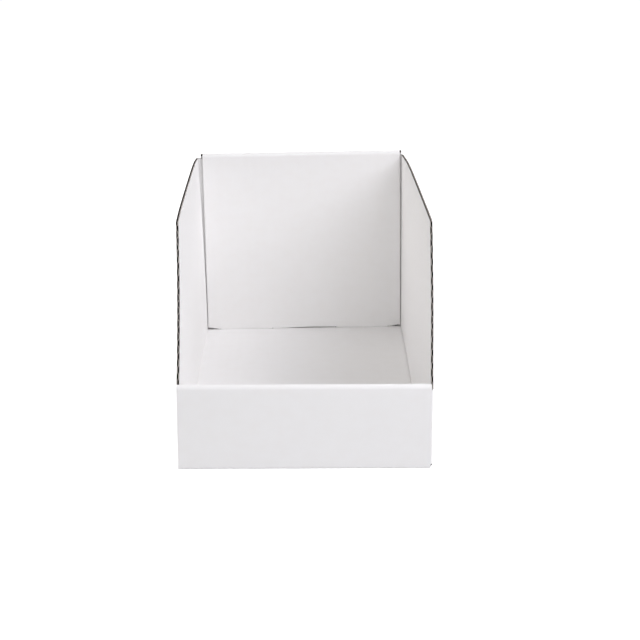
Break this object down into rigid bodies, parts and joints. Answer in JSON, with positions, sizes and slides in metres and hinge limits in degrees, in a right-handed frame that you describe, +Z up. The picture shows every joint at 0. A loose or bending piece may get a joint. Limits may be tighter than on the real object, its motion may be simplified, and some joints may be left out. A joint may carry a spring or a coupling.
{
  "type": "corrugated parts bin",
  "caption": "Open-front storage bin folded from one sheet of white-faced corrugated board, with sloped sides, a low rolled front wall and a full-height back wall.",
  "frame": {"origin": "middle of the underside of the bin", "axes": "+Z up, +Y from the low front wall to the back wall, +X to the right of a person who faces the front"},
  "size_m": [0.1586, 0.305, 0.1368],
  "materials": {
    "board": "White-faced fluted board, matte. The brown of the flutes shows only along cut edges."
  },
  "bodies": {
    "root": {"bin": "board"}
  },
  "joints": []
}
